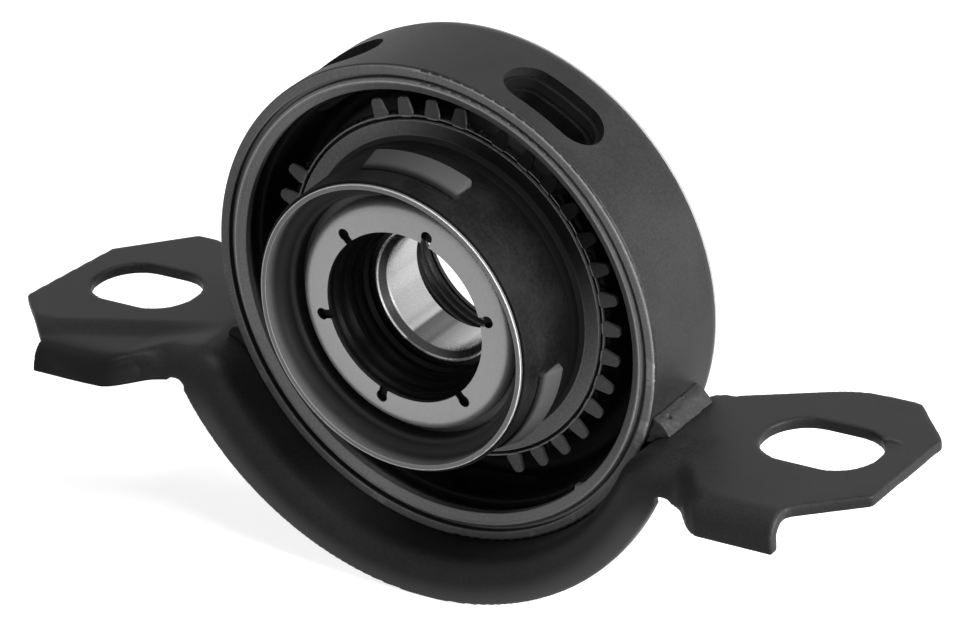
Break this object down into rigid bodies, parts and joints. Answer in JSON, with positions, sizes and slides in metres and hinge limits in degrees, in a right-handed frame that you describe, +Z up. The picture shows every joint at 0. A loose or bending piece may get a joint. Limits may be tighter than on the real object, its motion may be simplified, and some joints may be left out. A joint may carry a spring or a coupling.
{
  "type": "driveshaft centre bearing",
  "caption": "Ball bearing in a rubber cushion inside a pressed steel ring, on a stamped strap whose slotted ears bolt it under a vehicle's driveshaft.",
  "frame": {"origin": "centre of the ball bearing, on the shaft's axis", "axes": "+Y along the shaft to the rear, away from the open dust cup; +X to the right ear; +Z up, square to the ears' flat faces"},
  "size_m": [0.2401, 0.066, 0.1323],
  "materials": {
    "housing_paint": "satin black paint",
    "bracket_paint": "satin black paint",
    "weld_paint": "rough weld under thin black paint",
    "ring_steel": "plain satin",
    "cushion_rubber": "matt black",
    "flange_steel": "pale satin",
    "toothed_steel": "pale satin",
    "carrier_steel": "satin",
    "race_steel": "ground and polished",
    "ball_steel": "polished",
    "cage_steel": "pressed",
    "seal_rubber": "smooth black",
    "case_steel": "pale satin",
    "lip_rubber": "smooth black"
  },
  "bodies": {
    "mount_body": {"housing_ring": "housing_paint", "mounting_bracket": "bracket_paint", "weld_bead_right": "weld_paint", "weld_bead_left": "weld_paint", "cushion_outer_ring": "ring_steel", "rubber_cushion": "cushion_rubber", "flange_ring": "flange_steel", "toothed_ring": "toothed_steel", "bearing_carrier": "carrier_steel", "outer_race": "race_steel", "race_seal_front": "seal_rubber", "race_seal_rear": "seal_rubber", "dust_seal_case_front": "case_steel", "dust_seal_case_rear": "case_steel", "dust_seal_lip_front": "lip_rubber", "dust_seal_lip_rear": "lip_rubber"},
    "spinning_race": {"inner_race": "race_steel"},
    "ball_set": {"balls": "ball_steel", "cage_front": "cage_steel", "cage_rear": "cage_steel", "cage_rivets": "cage_steel"}
  },
  "joints": [
    {"name": "race_spin", "type": "hinge", "parent": "mount_body", "child": "spinning_race", "pos_m": [0, 0, 0], "axis": [0, 1, 0], "continuous": true},
    {"name": "ball_set_spin", "type": "hinge", "parent": "mount_body", "child": "ball_set", "pos_m": [0, 0, 0], "axis": [0, 1, 0], "continuous": true}
  ],
  "couplings": [
    {"joint": "ball_set_spin", "follows": "race_spin", "ratio": 0.39647}
  ]
}
